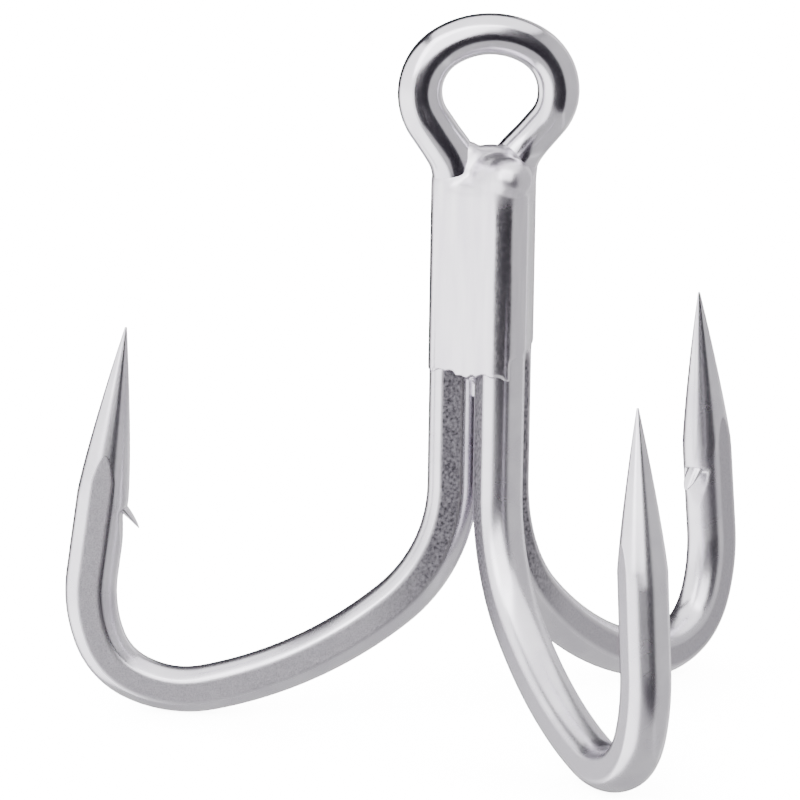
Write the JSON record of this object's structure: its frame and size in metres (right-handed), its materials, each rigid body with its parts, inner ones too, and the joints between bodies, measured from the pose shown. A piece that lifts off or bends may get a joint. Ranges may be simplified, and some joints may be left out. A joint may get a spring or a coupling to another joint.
{
  "type": "treble hook",
  "caption": "Heavy-wire barbed treble fishing hook: a double hook bent from one wire that also forms the eye, with a single hook brazed to its shanks.",
  "frame": {"origin": "centre of the eye's hole, on the line through the eye above the three shanks", "axes": "+Z from the bends to the eye, parallel to the shanks; the single hook bends out along -Y; the double hook's two hooks bend out at 30 and 150 degrees from +X"},
  "size_m": [0.0516, 0.045, 0.0502],
  "materials": {
    "plated_wire": "bright tin-plated high-carbon steel, glossy on round stretches and fine-grained satin on the forged flats",
    "braze": "smooth flowed braze under the same plating, slightly rippled"
  },
  "bodies": {
    "root": {"double_hook": "plated_wire", "single_hook": "plated_wire", "braze_left": "braze", "braze_right": "braze", "braze_back": "braze", "braze_cap": "braze"}
  },
  "joints": []
}
